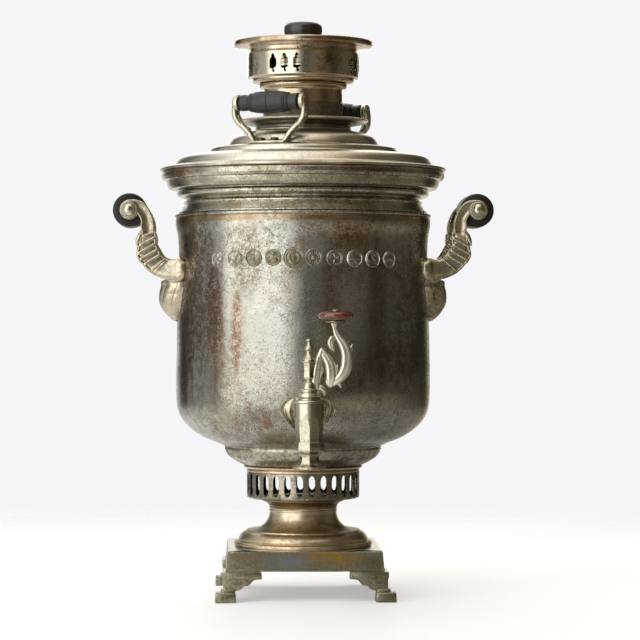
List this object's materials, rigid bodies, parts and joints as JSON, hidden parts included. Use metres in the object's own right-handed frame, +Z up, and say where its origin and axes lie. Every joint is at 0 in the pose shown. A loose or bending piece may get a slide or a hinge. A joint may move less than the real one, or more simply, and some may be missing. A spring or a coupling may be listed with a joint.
{
  "type": "samovar",
  "caption": "Charcoal samovar: tank on a square footed base with an air ring, tap with turning key, lift-off lid and crown, damper cap, side and lid handles with wooden rollers.",
  "frame": {"origin": "on the axis of the tank, on the plane the four foot pads stand on", "axes": "+Z up along the axis of the tank, -Y towards the tap, +X to the right of a person facing the tap"},
  "size_m": [0.3636, 0.3144, 0.5486],
  "materials": {
    "nickel_plate": "aged nickel plate on brass, mottled grey with brown worn patches",
    "bare_brass": "darkened bare brass, satin",
    "cast_brass": "pale cast brass, worn bright on the edges and dark in the hollows",
    "black_wood": "black stained turned wood, satin",
    "brown_wood": "dark red-brown turned wood, varnished",
    "steel": "plain steel, dull",
    "iron": "rough cast iron with soot"
  },
  "bodies": {
    "root": {"base_plate": "bare_brass", "foot_front_left": "bare_brass", "foot_front_right": "bare_brass", "foot_rear_left": "bare_brass", "foot_rear_right": "bare_brass", "pedestal": "bare_brass", "pedestal_cup": "bare_brass", "blower_gallery": "nickel_plate", "gallery_lip": "nickel_plate", "body_bottom": "nickel_plate", "body_wall": "nickel_plate", "rim_cove": "nickel_plate", "rim_ring": "nickel_plate", "fire_tube": "bare_brass", "fire_tube_neck": "bare_brass", "grate": "iron", "handle_left": "cast_brass", "handle_right": "cast_brass", "grip_rods": "steel", "grip_caps": "cast_brass", "tap_body": "cast_brass", "tap_escutcheon": "cast_brass"},
    "grip_left": {"grip_left": "black_wood"},
    "grip_right": {"grip_right": "black_wood"},
    "tap_key": {"tap_plug": "cast_brass", "tap_branch": "cast_brass", "tap_washer": "cast_brass", "tap_knob": "brown_wood", "tap_screw": "steel"},
    "lid": {"lid_shell": "nickel_plate", "lid_collar": "nickel_plate", "lid_handle_front": "cast_brass", "lid_handle_rear": "cast_brass", "lid_handle_screws": "steel", "lid_grip_rods": "steel", "lid_grip_caps": "cast_brass", "vent_tube": "nickel_plate", "vent_pin": "steel"},
    "lid_grip_front": {"lid_grip_front": "black_wood"},
    "lid_grip_rear": {"lid_grip_rear": "black_wood"},
    "vent_cap": {"vent_cap": "nickel_plate"},
    "crown": {"crown_sleeve": "nickel_plate", "crown_cup": "nickel_plate", "crown_flange": "nickel_plate"},
    "damper_cap": {"damper_plate": "nickel_plate", "damper_skirt": "nickel_plate", "damper_knob": "brown_wood", "damper_screw": "steel"}
  },
  "joints": [
    {"name": "tap_key_turn", "type": "hinge", "parent": "root", "child": "tap_key", "pos_m": [0, -0.162, 0.175], "axis": [0, 0, -1], "range_deg": [0, 90]},
    {"name": "lid_lift", "type": "slide", "parent": "root", "child": "lid", "axis": [0, 0, 1], "range_m": [0, 0.12]},
    {"name": "crown_lift", "type": "slide", "parent": "lid", "child": "crown", "axis": [0, 0, 1], "range_m": [0, 0.06]},
    {"name": "cap_lift", "type": "slide", "parent": "crown", "child": "damper_cap", "axis": [0, 0, 1], "range_m": [0, 0.05]},
    {"name": "grip_left_spin", "type": "hinge", "parent": "root", "child": "grip_left", "pos_m": [-0.1655, 0, 0.367], "axis": [0, 1, 0], "continuous": true},
    {"name": "grip_right_spin", "type": "hinge", "parent": "root", "child": "grip_right", "pos_m": [0.1655, 0, 0.367], "axis": [0, 1, 0], "continuous": true},
    {"name": "lid_grip_front_spin", "type": "hinge", "parent": "lid", "child": "lid_grip_front", "pos_m": [-0.03288, -0.06741, 0.4662], "axis": [0.8988, -0.4384, 0], "continuous": true},
    {"name": "lid_grip_rear_spin", "type": "hinge", "parent": "lid", "child": "lid_grip_rear", "pos_m": [0.03288, 0.06741, 0.4662], "axis": [0.8988, -0.4384, 0], "continuous": true},
    {"name": "vent_cap_swing", "type": "hinge", "parent": "lid", "child": "vent_cap", "pos_m": [-0.03575, 0.0803, 0.4316], "axis": [-0.9135, -0.4067, 0], "range_deg": [0, 100]}
  ]
}
